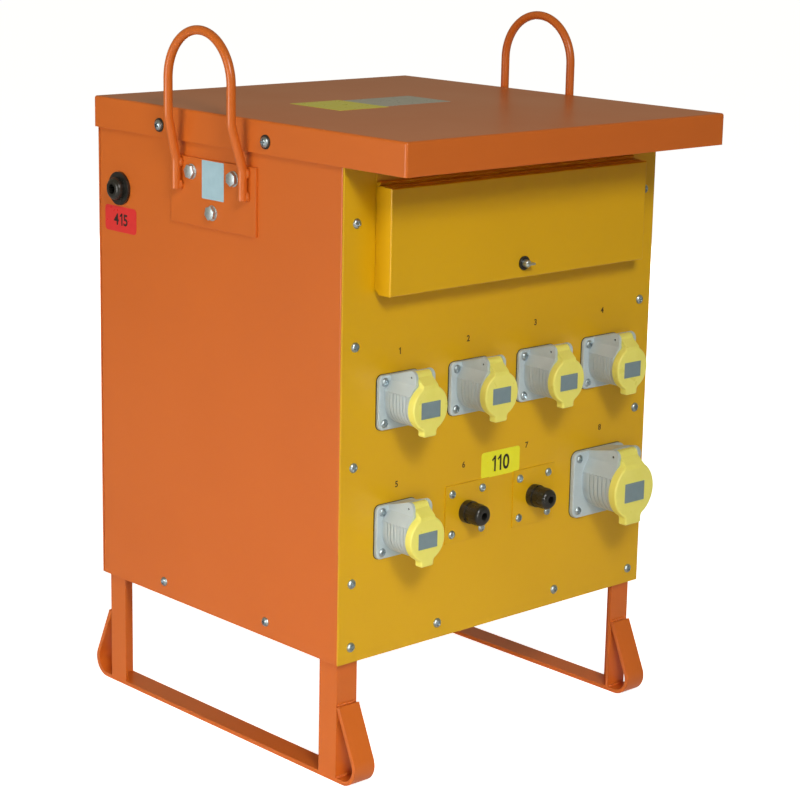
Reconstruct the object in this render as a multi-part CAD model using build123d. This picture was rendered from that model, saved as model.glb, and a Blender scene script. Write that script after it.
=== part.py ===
from build123d import *
import math
import os

# Site transformer in a sheet steel cabinet on a welded stand, in millimetres.
# X runs across the front panel, Y from front to back, Z up from the ground.

# Cabinet
cabinet_width = 500.0
cabinet_depth = 450.0
cabinet_height = 560.0
ground_clearance = 143.0
sheet = 2.0
front_sheet = 2.5
return_width = 20.0
side_bend = 2.5

# Lid, a folded tray that reaches out over the front panel
lid_skirt = 37.0
lid_overhang = 100.0
lid_side_gap = 2.0
lid_rear_gap = 1.0
lid_bend = 3.0

# Stand
angle_size = 30.0
angle_wall = 4.0
angle_root = 3.0
bar_width = 30.0
bar_thickness = 5.0
curl_reach = 33.0
curl_radius = 22.0
curl_top = 89.5
base_sheet = 3.0
vent_length = 90.0
vent_width = 8.0
vent_pitch = 24.0
vent_count = 9
vent_row_spacing = 140.0

# Lifting handles, their heights counted from the top of the plate
plate_width = 156.0
plate_height = 78.0
plate_thickness = 3.0
plate_under_lid = 17.0
handle_off_middle = 1.0
rod_diameter = 10.5
rod_foot = -38.0
rod_kink_low = -3.0
rod_kink_high = 47.0
rod_foot_spread = 61.0
rod_spread = 57.5
rod_stand_off = 13.5
rod_bend = 24.0
handle_apex = 147.0

# Breaker cover and its hinge
cover_width = 410.0
cover_height = 118.0
cover_under_lid = 24.0
cover_depth = 26.0
cover_sheet = 1.5
cover_gap = 0.5
cover_notch = 6.0
hinge_barrel = 5.0
hinge_pin = 2.4
hinge_leaf = 1.0
hinge_leaf_width = 11.0
hinge_knuckles = 9
hinge_gap = 0.4
wing_height = 17.0
wing_washer = 16.0
wing_washer_thickness = 2.0
wing_shank = 6.0
wing_boss = 8.5
wing_boss_length = 7.0
wing_span = 15.0
wing_rise = 9.0
wing_blade = 2.0

# Breakers behind the cover
breaker_count = 8
breaker_pitch = 36.0
breaker_gap = 0.6
breaker_height = 82.0
breaker_body_depth = 45.0
nose_height = 45.0
nose_depth = 18.0
nose_stand_out = 7.0
lever_width = 24.0
lever_height = 12.0
lever_reach = 8.0
lever_round = 2.0
window_gap = 1.0
rail_height = 35.0
rail_depth = 7.5
rail_sheet = 1.0
rail_lip = 5.0
rail_gap = 0.3

# Socket outlets
socket_pitch = 110.0
socket_row_z = 295.0
socket_first_x = -168.5
low_socket_z = 146.0
large_socket_x = 165.3
large_socket_z = 145.5

small_socket = dict(
    flange_width=62.0,
    flange_height=62.5,
    flange_thickness=5.0,
    flange_corner=7.0,
    rear_diameter=44.0,
    rear_depth=30.0,
    body_diameter=46.0,
    rib_diameter=48.5,
    rib_count=7,
    rib_start=10.4,
    rib_pitch=5.2,
    rib_width=4.0,
    rib_top=14.0,
    shoulder_top=26.0,
    reach=46.0,
    bore=41.0,
    bore_depth=34.0,
    carrier=30.0,
    carrier_recess=7.0,
    contact_hole=5.0,
    contact_circle=17.0,
    contact_depth=15.0,
    ear_radius=7.5,
    ear_width=3.5,
    pin_out=38.5,
    pin_up=33.5,
    pin=3.0,
    knuckle_width=21.5,
    knuckle_radius=6.5,
    lid_diameter=52.0,
    lid_thickness=9.5,
    lid_edge=2.0,
    lid_blend=5.0,
    lid_hollow=44.0,
    lid_hollow_depth=3.0,
    crease_out=54.5,
    crease_up=26.0,
    tab_width=19.0,
    tab_drop=6.0,
    tab_corner=2.5,
    label_width=29.0,
    label_height=19.0,
    label_offset=-1.5,
)

large_socket = dict(
    flange_width=91.0,
    flange_height=83.0,
    flange_thickness=6.0,
    flange_corner=10.0,
    rear_diameter=56.0,
    rear_depth=40.0,
    body_diameter=60.0,
    rib_diameter=64.0,
    rib_count=6,
    rib_start=13.5,
    rib_pitch=6.7,
    rib_width=5.2,
    rib_top=16.0,
    shoulder_top=32.0,
    reach=53.0,
    bore=54.0,
    bore_depth=42.0,
    carrier=41.0,
    carrier_recess=8.0,
    contact_hole=6.5,
    contact_circle=23.0,
    contact_depth=18.0,
    ear_radius=8.5,
    ear_width=4.5,
    pin_out=45.5,
    pin_up=40.5,
    pin=3.5,
    knuckle_width=31.0,
    knuckle_radius=7.5,
    lid_diameter=69.0,
    lid_thickness=11.0,
    lid_edge=2.5,
    lid_blend=6.0,
    lid_hollow=57.0,
    lid_hollow_depth=4.0,
    crease_out=62.0,
    crease_up=32.0,
    tab_width=28.0,
    tab_drop=8.0,
    tab_corner=3.0,
    label_width=35.0,
    label_height=24.0,
    label_offset=-2.0,
)

# Cable outlets
gland_plate_size = 69.5
gland_plate_sheet = 1.5
gland_plate_x = (-55.5, 55.0)
gland_plate_z = 145.5
gland_window = 46.0
gland = dict(bore=9.0, collar=27.0, collar_length=8.0, nut=24.5, reach=29.0, thread=20.0, tail=14.0)

# Supply inlet on the left side, near its upper rear corner
inlet_from_rear = 44.0
inlet_under_lid = 70.0
inlet = dict(bore=12.0, collar=40.0, collar_length=3.5, nut=27.0, reach=13.0, thread=24.0, tail=14.0)

running_gap = 0.08
pin_recess = 1.0
side_gap = 0.3
fit_gap = 0.5

# Derived places
rear_inset = 2 * sheet + angle_wall
rear_reach = curl_reach - rear_inset
whole_depth = lid_overhang + cabinet_depth + rear_reach
panel_y = lid_overhang - whole_depth / 2
rear_y = panel_y + cabinet_depth
half_width = cabinet_width / 2
base_z = ground_clearance
top_z = base_z + cabinet_height + lid_skirt - sheet
frame_front = panel_y + front_sheet + sheet
frame_rear = rear_y - 2 * sheet
leg_side = half_width - sheet - angle_wall
leg_front = frame_front + angle_wall
leg_rear = frame_rear - angle_wall
leg_top = base_z + angle_size - angle_wall
middle_y = (leg_front + leg_rear) / 2
cover_top = cabinet_height - cover_under_lid
cover_bottom = cover_top - cover_height
breaker_z = cover_bottom + cover_height / 2
rail_front = nose_depth - nose_stand_out + breaker_body_depth - rail_depth
hinge_out = hinge_barrel / 2 + cover_gap
hinge_up = cover_top + hinge_barrel / 2 + side_gap
handle_y = panel_y + cabinet_depth / 2 - handle_off_middle
plate_top = base_z + cabinet_height - plate_under_lid
inlet_y = rear_y - inlet_from_rear
inlet_z = base_z + cabinet_height - inlet_under_lid

# A point on the panel is given by its distance out from the face and its height over the cabinet's foot
on_panel = Pos(0, panel_y, base_z)

outlets = {
    "1": (socket_first_x, socket_row_z, small_socket),
    "2": (socket_first_x + socket_pitch, socket_row_z, small_socket),
    "3": (socket_first_x + 2 * socket_pitch, socket_row_z, small_socket),
    "4": (socket_first_x + 3 * socket_pitch, socket_row_z, small_socket),
    "5": (socket_first_x, low_socket_z, small_socket),
    "8": (large_socket_x, large_socket_z, large_socket),
}


def block(x0, x1, y0, y1, z0, z1):
    """Box between two opposite corners."""
    return Pos((x0 + x1) / 2, (y0 + y1) / 2, (z0 + z1) / 2) * Box(x1 - x0, y1 - y0, z1 - z0)


def slab(x0, x1, near, far, z0, z1):
    """Box that stands out from a panel face at Y zero, between two distances."""
    return block(x0, x1, -far, -near, z0, z1)


def disc(diameter, near, far, x=0.0, z=0.0):
    """Cylinder that stands out from a panel face at Y zero, between two distances."""
    return Pos(x, -(near + far) / 2, z) * Rot(90, 0, 0) * Cylinder(diameter / 2, far - near)


def bar_across(diameter, width, out, up):
    """Cylinder along X, at a distance out and a height."""
    return Pos(0, -out, up) * Rot(0, 90, 0) * Cylinder(diameter / 2, width)


def side_face(points):
    """Face in the side view from points given as distance out and height."""
    return Plane.YZ * make_face(Polyline(*[(-out, up) for out, up in points], close=True))


def across(face, width):
    """Extrude a side view face to a width centred on X zero."""
    return extrude(face, width / 2, both=True)


def mirrored(shape):
    return mirror(shape, Plane.YZ)


# Stand

def skid():
    """Flat bar under the two legs of the left side, curled up at both ends."""
    inner_radius = curl_radius - bar_thickness
    centre = (leg_front - curl_reach + curl_radius, curl_radius)
    inward = leg_front - centre[0]
    rise = curl_top - centre[1]
    lean = math.atan2(inward, rise) + math.asin(inner_radius / math.hypot(inward, rise))
    turn = -(90 + math.degrees(lean))
    outer_arc = CenterArc(centre, curl_radius, -90, turn)
    inner_arc = CenterArc(centre, inner_radius, -90, turn)
    weld = (leg_front, curl_top)
    lip = (weld[0] - bar_thickness * math.cos(lean), weld[1] + bar_thickness * math.sin(lean))
    outline = Line((middle_y, 0), outer_arc @ 0) + outer_arc + Polyline(outer_arc @ 1, lip, weld, inner_arc @ 1)
    outline += inner_arc + Polyline(inner_arc @ 0, (middle_y, bar_thickness), (middle_y, 0))
    half = Pos(-leg_side, 0, 0) * extrude(Plane.YZ * make_face(outline), bar_width)
    return half + mirror(half, Plane.XZ.offset(-middle_y))


def leg():
    """Front left leg of rolled angle, from the skid up into the base frame."""
    corner = (Align.MIN, Align.MIN)
    section = Rectangle(angle_size, angle_size, align=corner)
    section -= Pos(angle_wall, angle_wall) * Rectangle(angle_size, angle_size, align=corner)
    root = section.vertices().sort_by_distance((angle_wall, angle_wall))[0]
    section = fillet(root, angle_root)
    return Pos(-leg_side, leg_front, bar_thickness) * extrude(section, leg_top - bar_thickness)


def base_frame():
    """Ring of angle around the foot of the cabinet, its upper flange turned inward."""
    width = 2 * (half_width - sheet)
    depth = frame_rear - frame_front
    wall = Rectangle(width, depth) - Rectangle(width - 2 * angle_wall, depth - 2 * angle_wall)
    flange = Rectangle(width, depth) - Rectangle(width - 2 * angle_size, depth - 2 * angle_size)
    ring = extrude(wall, angle_size) + Pos(0, 0, angle_size - angle_wall) * extrude(flange, angle_wall)
    return Pos(0, (frame_front + frame_rear) / 2, base_z) * ring


def base_plate():
    """Floor of the cabinet with two rows of cooling slots."""
    plate = Rectangle(2 * (half_width - sheet) - fit_gap, frame_rear - frame_front - fit_gap)
    for side in (-1, 1):
        for row in range(vent_count):
            offset = (row - (vent_count - 1) / 2) * vent_pitch
            plate -= Pos(side * vent_row_spacing / 2, offset) * SlotOverall(vent_length, vent_width)
    place = Pos(0, (frame_front + frame_rear) / 2, base_z + angle_size)
    return place * extrude(plate, base_sheet)


# Cabinet

def side_panel():
    """Left side sheet with a return at its front and rear edge."""
    front = panel_y + front_sheet
    length = rear_y - sheet - front
    corner = (Align.MIN, Align.MIN)
    section = Pos(-half_width, front) * Rectangle(return_width, length, align=corner)
    section -= Pos(-half_width + sheet, front + sheet) * Rectangle(
        return_width, length - 2 * sheet, align=corner)
    bends = section.vertices().group_by(Axis.X)[0]
    return Pos(0, 0, base_z) * extrude(fillet(bends, side_bend), top_z - base_z)


def inlet_hole():
    place = Pos(-half_width, inlet_y, inlet_z) * Rot(0, 90, 0)
    return place * Cylinder(inlet["thread"] / 2 + side_gap, 4 * sheet)


def rear_panel():
    return block(-half_width, half_width, rear_y - sheet, rear_y, base_z, top_z)


def front_panel():
    """Yellow front sheet with the breaker window and the holes for sockets and glands."""
    panel = slab(-half_width, half_width, -front_sheet, 0, 0, top_z - base_z)
    through = 2 * front_sheet
    wide = breaker_count * breaker_pitch / 2 + window_gap
    tall = nose_height / 2 + window_gap
    panel -= slab(-wide, wide, -through, through, breaker_z - tall, breaker_z + tall)
    panel -= disc(wing_shank + 2 * fit_gap, -through, through, 0, cover_bottom + wing_height)
    for x, z, size in outlets.values():
        panel -= disc(size["rear_diameter"] + 2 * fit_gap, -through, through, x, z)
    half = gland_window / 2
    for x in gland_plate_x:
        panel -= slab(x - half, x + half, -through, through, gland_plate_z - half, gland_plate_z + half)
    return on_panel * panel


def lid():
    """Folded lid tray, open below."""
    outer_x = half_width + lid_side_gap + sheet
    front = panel_y - lid_overhang
    rear = rear_y + lid_rear_gap + sheet
    skirt_z = base_z + cabinet_height
    shell = block(-outer_x, outer_x, front, rear, skirt_z, skirt_z + lid_skirt)
    shell = fillet(shell.edges().filter_by(Axis.Z) + shell.edges().group_by(Axis.Z)[-1], lid_bend)
    inner_x = outer_x - sheet
    hollow = block(-inner_x, inner_x, front + sheet, rear - sheet, skirt_z - sheet, top_z)
    inner_edges = hollow.edges().filter_by(Axis.Z) + hollow.edges().group_by(Axis.Z)[-1]
    return shell - fillet(inner_edges, lid_bend - sheet)


# Lifting handles

def handle_plate():
    """Left plate that the lifting rod is welded to."""
    half = plate_width / 2
    outer = -half_width - plate_thickness
    return block(outer, -half_width, handle_y - half, handle_y + half, plate_top - plate_height, plate_top)


def handle():
    """Left lifting handle, one bent round bar."""
    inner = -half_width - plate_thickness - rod_diameter / 2
    outer = inner - rod_stand_off
    apex = plate_top + handle_apex

    def side(way):
        return [
            (inner, handle_y + way * rod_foot_spread, plate_top + rod_foot),
            (inner, handle_y + way * rod_foot_spread, plate_top + rod_kink_low),
            (outer, handle_y + way * rod_spread, plate_top + rod_kink_high),
            (outer, handle_y + way * rod_spread, apex - rod_spread),
        ]

    near = side(-1)
    far = side(1)
    rise = FilletPolyline(*near, radius=rod_bend)
    arch = ThreePointArc(near[-1], (outer, handle_y, apex), far[-1])
    fall = FilletPolyline(*far[::-1], radius=rod_bend)
    path = Wire([*rise.edges(), *arch.edges(), *fall.edges()])
    return sweep(Plane(near[0]) * Circle(rod_diameter / 2), path=path)


# Breakers and their cover

def breaker(index):
    """Two pole breaker: body behind the panel, nose and lever through its window."""
    x = (index - (breaker_count - 1) / 2) * breaker_pitch
    half = (breaker_pitch - breaker_gap) / 2
    shoulder = nose_stand_out - nose_depth
    back = shoulder - breaker_body_depth
    shape = slab(x - half, x + half, back, shoulder, breaker_z - breaker_height / 2, breaker_z + breaker_height / 2)
    shape += slab(x - half, x + half, shoulder, nose_stand_out, breaker_z - nose_height / 2, breaker_z + nose_height / 2)
    tip = nose_stand_out + lever_reach
    lever = slab(x - lever_width / 2, x + lever_width / 2, 0, tip, breaker_z - lever_height / 2, breaker_z + lever_height / 2)
    lever = fillet(lever.edges().filter_by(Axis.X).group_by(Axis.Y)[0], lever_round)
    slot = rail_height / 2 + rail_gap
    shape -= slab(x - half, x + half, back, -rail_front, breaker_z - slot, breaker_z + slot)
    return shape + lever


def breaker_bank():
    return on_panel * Compound(children=[breaker(index) for index in range(breaker_count)])


def rail():
    """Top hat rail behind the breakers, from side sheet to side sheet."""
    face = -(rail_front + rail_gap)
    low = face - rail_depth
    hat = rail_height / 2
    web = hat - rail_lip
    profile = [
        (face, -hat), (face, -web), (low + rail_sheet, -web), (low + rail_sheet, web), (face, web), (face, hat),
        (face - rail_sheet, hat), (face - rail_sheet, web + rail_sheet), (low, web + rail_sheet),
        (low, -web - rail_sheet), (face - rail_sheet, -web - rail_sheet), (face - rail_sheet, -hat),
    ]
    shape = across(side_face(profile), 2 * (half_width - sheet))
    return on_panel * Pos(0, 0, breaker_z) * shape


def cover():
    """Folded cover over the breakers, hung from its top rear edge."""
    half = cover_width / 2
    shell = slab(-half, half, cover_gap, cover_depth, cover_bottom, cover_top)
    shell = fillet(shell.edges().group_by(Axis.Y)[0], cover_sheet)
    inner = half - cover_sheet
    shell -= slab(-inner, inner, 0, cover_depth - cover_sheet, cover_bottom + cover_sheet, cover_top - cover_sheet)
    notch = side_face([
        (0, cover_bottom - 1), (cover_notch, cover_bottom - 1), (cover_notch, cover_bottom + cover_sheet),
        (cover_gap, cover_bottom + cover_notch), (0, cover_bottom + cover_notch),
    ])
    shell -= across(notch, 2 * cover_width)
    shell -= disc(wing_shank + 2 * side_gap, 0, 2 * cover_depth, 0, cover_bottom + wing_height)
    return on_panel * shell


def hinge_knuckle(index):
    """One knuckle of the long hinge, its two end positions along X, solid."""
    step = cover_width / hinge_knuckles
    x0 = -cover_width / 2 + index * step + hinge_gap / 2
    x1 = x0 + step - hinge_gap
    return x0, x1, Pos((x0 + x1) / 2, 0, 0) * bar_across(hinge_barrel, x1 - x0, hinge_out, hinge_up)


def fixed_leaf():
    """Leaf screwed to the panel, with the hinge pin."""
    half = cover_width / 2
    above = hinge_up + hinge_barrel / 2 + hinge_gap
    shape = slab(-half, half, 0, hinge_leaf, above, hinge_up + hinge_leaf_width)
    shape += bar_across(hinge_pin, cover_width, hinge_out, hinge_up)
    for index in range(0, hinge_knuckles, 2):
        x0, x1, barrel = hinge_knuckle(index)
        shape += barrel + slab(x0, x1, 0, hinge_leaf, hinge_up, above)
    return on_panel * shape


def moving_leaf():
    """Leaf on top of the cover."""
    half = cover_width / 2
    front = hinge_out + hinge_barrel / 2 + hinge_gap
    shape = slab(-half, half, front, hinge_out + hinge_leaf_width, cover_top, cover_top + hinge_leaf)
    for index in range(1, hinge_knuckles, 2):
        x0, x1, barrel = hinge_knuckle(index)
        shape += barrel + slab(x0, x1, hinge_out, front, cover_top, cover_top + hinge_leaf)
    return on_panel * (shape - bar_across(hinge_pin + 2 * running_gap, cover_width, hinge_out, hinge_up))


def cover_washer():
    z = cover_bottom + wing_height
    far = cover_depth + wing_washer_thickness
    washer = disc(wing_washer, cover_depth, far, 0, z) - disc(wing_shank + 2 * side_gap, 0, 2 * far, 0, z)
    return on_panel * washer


def wing_screw():
    """Wing headed screw that holds the cover to the panel."""
    z = cover_bottom + wing_height
    near = cover_depth + wing_washer_thickness
    far = near + wing_boss_length
    shape = disc(wing_shank, -front_sheet, near, 0, z)
    boss = disc(wing_boss, near, far, 0, z)
    boss = fillet(boss.edges().group_by(Axis.Y)[0], wing_boss / 4)
    wing = slab(-wing_span / 2, wing_span / 2, far - wing_rise / 2, far + wing_rise / 2, z - wing_blade / 2, z + wing_blade / 2)
    wing = fillet(wing.edges().filter_by(Axis.Z), wing_rise / 3)
    return on_panel * (shape + boss + wing)


# Socket outlets

def housing(width, near, far, top):
    """Round below and straight up the sides, between two distances from the panel."""
    return disc(width, near, far) + slab(-width / 2, width / 2, near, far, 0, top)


def shoulders(size):
    """Slopes from the ribbed housing in to the fork above it."""
    half = size["body_diameter"] / 2
    fork = fork_half(size)
    outline = Polyline(
        (-half, 0), (-half, size["rib_top"]), (-fork, size["shoulder_top"]),
        (fork, size["shoulder_top"]), (half, size["rib_top"]), (half, 0), close=True)
    return extrude(Plane.XZ * make_face(outline), size["reach"])


def fork_half(size):
    return size["knuckle_width"] / 2 + side_gap + size["ear_width"]


def fork(size):
    """Raised wall from the flange to the hinge pin, its ears rounded about the pin."""
    out = size["pin_out"]
    up = size["pin_up"]
    radius = size["ear_radius"]
    low = size["body_diameter"] / 4
    outline = side_face([
        (0, low),
        (0, size["flange_height"] / 2),
        (size["flange_thickness"], size["flange_height"] / 2),
        (out, up + radius),
        (out + radius, up),
        (size["reach"], size["shoulder_top"]),
        (size["reach"], low),
    ])
    return across(outline, 2 * fork_half(size)) + bar_across(2 * radius, 2 * fork_half(size), out, up)


def socket_body(size):
    """Ribbed housing with a square flange, a bore for the plug and a fork with the hinge pin."""
    up = size["flange_height"] / 2
    plate = slab(-size["flange_width"] / 2, size["flange_width"] / 2, 0, size["flange_thickness"], -up, up)
    plate = fillet(plate.edges().filter_by(Axis.Y), size["flange_corner"])
    plate = fillet(plate.edges().group_by(Axis.Y)[0], 1.5)
    body = plate + disc(size["rear_diameter"], -size["rear_depth"], 0)
    body += housing(size["body_diameter"], 0, size["reach"], size["rib_top"])
    for index in range(size["rib_count"]):
        near = size["rib_start"] + index * size["rib_pitch"]
        body += housing(size["rib_diameter"], near, near + size["rib_width"], size["rib_top"])
    body += shoulders(size)
    body += fork(size)
    gap = size["knuckle_width"] / 2 + side_gap
    room = size["knuckle_radius"] + fit_gap
    body -= slab(-gap, gap, size["pin_out"] - room, 2 * size["reach"], size["pin_up"] - room, 2 * size["pin_up"])
    body -= disc(size["bore"], size["reach"] - size["bore_depth"], 2 * size["reach"])
    recess = bar_across(size["pin"], 2 * fork_half(size), size["pin_out"], size["pin_up"])
    pin = bar_across(size["pin"], 2 * fork_half(size) - 2 * pin_recess, size["pin_out"], size["pin_up"])
    return body - (recess - pin) + pin


def socket_insert(size):
    """Contact carrier at the bottom of the bore, with three contact holes."""
    bottom = size["reach"] - size["bore_depth"]
    face = size["reach"] - size["carrier_recess"]
    carrier = disc(size["carrier"], bottom, face)
    for index in range(3):
        turn = math.radians(90 + index * 120)
        x = size["contact_circle"] / 2 * math.cos(turn)
        z = size["contact_circle"] / 2 * math.sin(turn)
        carrier -= disc(size["contact_hole"], face - size["contact_depth"], face + 1, x, z)
    return carrier


def socket_lid(size):
    """Round sprung lid with its hinge knuckle on top and a finger tab below."""
    back = size["reach"] + side_gap
    face = back + size["lid_thickness"]
    radius = size["lid_diameter"] / 2
    top = size["pin_up"] + size["knuckle_radius"]
    foot = radius + size["tab_drop"]
    outline = Circle(radius) + Pos(0, top / 2) * Rectangle(size["knuckle_width"], top)
    outline += Pos(0, -foot / 2) * Rectangle(size["tab_width"], foot)
    outline = fillet(outline.vertices().group_by(Axis.Y)[0], size["tab_corner"])
    for width, way in ((size["knuckle_width"], 1), (size["tab_width"], -1)):
        height = way * math.sqrt(radius ** 2 - width ** 2 / 4)
        corners = [outline.vertices().sort_by_distance((side * width / 2, height))[0] for side in (-1, 1)]
        outline = fillet(corners, size["lid_blend"])
    shape = extrude(Plane.XZ.offset(back) * outline, size["lid_thickness"])
    shape = fillet(shape.edges().group_by(Axis.Y)[0], size["lid_edge"])
    crease = (size["crease_out"], size["crease_up"])
    shape -= across(side_face([
        (size["pin_out"], top), crease, (face, size["crease_up"] - 2 * size["lid_edge"]),
        (2 * face, size["crease_up"] - 2 * size["lid_edge"]), (2 * face, 2 * top), (size["pin_out"], 2 * top),
    ]), 2 * radius)
    low = size["pin_up"] - size["knuckle_radius"]
    neck = side_face([(size["pin_out"], top), crease, (back, size["crease_up"]), (back, low), (size["pin_out"], low)])
    shape += across(neck, size["knuckle_width"])
    shape += bar_across(2 * size["knuckle_radius"], size["knuckle_width"], size["pin_out"], size["pin_up"])
    shape -= disc(size["lid_hollow"], 0, back + size["lid_hollow_depth"])
    shape -= bar_across(size["pin"] + 2 * running_gap, 2 * size["knuckle_width"], size["pin_out"], size["pin_up"])
    middle = size["label_offset"]
    half = size["label_height"] / 2
    wide = size["label_width"] / 2
    shape -= slab(-wide, wide, face - 0.5, face + 1, middle - half, middle + half)
    return shape


# Cable glands

def gland_plate(x):
    """Screwed plate over a window in the panel, bored for one gland."""
    half = gland_plate_size / 2
    plate = slab(-half, half, 0, gland_plate_sheet, -half, half)
    plate -= disc(gland["thread"] + 2 * side_gap, -1, gland_plate_sheet + 1)
    return on_panel * Pos(x, 0, gland_plate_z) * plate


def cable_gland(size):
    """Gland body with a collar, a domed nut, a threaded tail and a cable bore."""
    inner = size["bore"] / 2
    nut = size["nut"] / 2
    dome = (nut - inner) * 0.7
    outline = Polyline(
        (inner, size["tail"]),
        (size["thread"] / 2, size["tail"]),
        (size["thread"] / 2, 0),
        (size["collar"] / 2, 0),
        (size["collar"] / 2, -size["collar_length"]),
        (nut, -size["collar_length"]),
        (nut, -size["reach"] + dome),
    )
    outline += RadiusArc((nut, -size["reach"] + dome), (nut - dome, -size["reach"]), dome)
    outline += Polyline((nut - dome, -size["reach"]), (inner, -size["reach"]), (inner, size["tail"]))
    return revolve(make_face(outline), Axis.Y)


# The assembly

parts = {
    "left_skid": skid(),
    "front_left_leg": leg(),
    "rear_left_leg": mirror(leg(), Plane.XZ.offset(-middle_y)),
    "rear_right_leg": Pos(0, 2 * middle_y, 0) * Rot(0, 0, 180) * leg(),
    "base_frame": base_frame(),
    "base_plate": base_plate(),
    "left_side_panel": side_panel() - inlet_hole(),
    "right_side_panel": mirrored(side_panel()),
    "rear_panel": rear_panel(),
    "front_panel": front_panel(),
    "lid": lid(),
    "left_handle_plate": handle_plate(),
    "left_handle": handle(),
    "breaker_bank": breaker_bank(),
    "breaker_rail": rail(),
    "breaker_cover": cover(),
    "hinge_fixed_leaf": fixed_leaf(),
    "hinge_moving_leaf": moving_leaf(),
    "cover_washer": cover_washer(),
    "wing_screw": wing_screw(),
}

for name in ("left_skid", "front_left_leg", "left_handle_plate", "left_handle"):
    parts[name.replace("left", "right")] = mirrored(parts[name])

for number, (x, z, size) in outlets.items():
    place = on_panel * Pos(x, 0, z)
    parts["socket_" + number] = place * socket_body(size)
    parts["socket_insert_" + number] = place * socket_insert(size)
    parts["socket_lid_" + number] = place * socket_lid(size)

for number, x in zip(("6", "7"), gland_plate_x):
    parts["gland_plate_" + number] = gland_plate(x)
    parts["gland_" + number] = on_panel * Pos(x, -gland_plate_sheet, gland_plate_z) * cable_gland(gland)

parts["inlet_gland"] = Pos(-half_width, inlet_y, inlet_z) * Rot(0, 0, -90) * cable_gland(inlet)

os.makedirs("parts", exist_ok=True)
for name, shape in parts.items():
    shape.label = name
    export_step(shape, "parts/" + name + ".step")
    print(name, round(shape.volume / 1000, 1), "cm3")
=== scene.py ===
import bpy
import bmesh
import math
from mathutils import Matrix, Vector


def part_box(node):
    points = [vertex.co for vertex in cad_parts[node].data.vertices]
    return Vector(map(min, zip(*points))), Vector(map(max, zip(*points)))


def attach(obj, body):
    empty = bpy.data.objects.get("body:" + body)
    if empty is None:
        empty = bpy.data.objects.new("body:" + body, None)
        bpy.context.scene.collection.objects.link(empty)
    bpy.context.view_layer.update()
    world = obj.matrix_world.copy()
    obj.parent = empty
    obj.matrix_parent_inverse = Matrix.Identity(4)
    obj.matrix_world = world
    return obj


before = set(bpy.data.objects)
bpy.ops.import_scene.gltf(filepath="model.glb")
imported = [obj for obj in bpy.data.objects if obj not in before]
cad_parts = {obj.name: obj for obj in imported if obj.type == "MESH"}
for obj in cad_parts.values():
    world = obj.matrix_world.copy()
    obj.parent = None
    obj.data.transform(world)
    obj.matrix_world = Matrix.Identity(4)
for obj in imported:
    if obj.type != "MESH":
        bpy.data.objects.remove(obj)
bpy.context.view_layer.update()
mm = 0.001

# places that the other pieces are counted from, read from the frame
panelLow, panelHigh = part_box("front_panel")
panelFace = panelLow.y
cabinetFoot = panelLow.z
halfWidth = panelHigh.x
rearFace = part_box("rear_panel")[1].y
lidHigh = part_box("lid")[1]
plateOut = (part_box("right_handle_plate")[1].x - halfWidth) / mm


def hexColour(code):
    # sRGB hex to linear
    channels = [int(code[i:i + 2], 16) / 255 for i in (0, 2, 4)]
    linear = [c / 12.92 if c <= 0.04045 else ((c + 0.055) / 1.055) ** 2.4 for c in channels]
    return (*linear, 1.0)


def addNode(tree, kind, inputs=None, **settings):
    # inputs holds plain values, or outputs of other nodes to link
    node = tree.nodes.new(kind)
    for name, value in settings.items():
        setattr(node, name, value)
    for name, value in (inputs or {}).items():
        if isinstance(value, bpy.types.NodeSocket):
            tree.links.new(value, node.inputs[name])
        else:
            node.inputs[name].default_value = value
    return node


def newMaterial(name):
    material = bpy.data.materials.new(name)
    material.use_nodes = True
    material.node_tree.nodes.clear()
    return material, material.node_tree


def shifted(tree, value, look, spans, drift):
    # colour and roughness that wander together; each span lies evenly round the noise's middle
    half = spans["colour"] / 2
    blend = addNode(tree, "ShaderNodeMapRange", {
        "Value": value, "From Min": 0.5 - half, "From Max": 0.5 + half})
    colour = addNode(tree, "ShaderNodeMix", {
        "Factor": blend.outputs["Result"], "A": hexColour(look["colour"]),
        "B": hexColour(look["shade"])}, data_type="RGBA")
    half = spans["gloss"] / 2
    gloss = addNode(tree, "ShaderNodeMapRange", {
        "Value": value, "From Min": 0.5 - half, "From Max": 0.5 + half,
        "To Min": look["gloss"] - drift[0], "To Max": look["gloss"] + drift[1]})
    return {"Base Color": colour.outputs["Result"], "Roughness": gloss.outputs["Result"]}


def grained(tree, height, strength, depth, edge=None):
    # fine relief, over edges that are rounded where a radius is given
    inputs = {"Height": height, "Strength": strength, "Distance": depth * mm}
    if edge:
        bevel = addNode(tree, "ShaderNodeBevel", {"Radius": edge * mm}, samples=6)
        inputs["Normal"] = bevel.outputs["Normal"]
    return {"Normal": addNode(tree, "ShaderNodeBump", inputs).outputs["Normal"]}


def powderCoat(name, look):
    # polyester powder, sprayed and baked: an even half gloss skin that rounds each edge, with fine
    # orange peel
    material, tree = newMaterial(name)
    place = addNode(tree, "ShaderNodeTexCoord").outputs["Object"]
    patch = addNode(tree, "ShaderNodeTexNoise", {
        "Vector": place, "Scale": 1 / (look["patch"] * mm), "Detail": 2.0})
    fleck = addNode(tree, "ShaderNodeTexNoise", {
        "Vector": place, "Scale": 1 / (look["fleck"] * mm), "Detail": 1.0})
    even = shifted(tree, patch.outputs["Fac"], look, {"colour": 0.7, "gloss": 0.7}, (0.03, 0.04))
    peel = grained(tree, fleck.outputs["Fac"], look["peel"], 0.1, look["edge"])
    shader = addNode(tree, "ShaderNodeBsdfPrincipled", {**even, **peel, "IOR": 1.5})
    addNode(tree, "ShaderNodeOutputMaterial", {"Surface": shader.outputs[0]})
    return material


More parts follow.
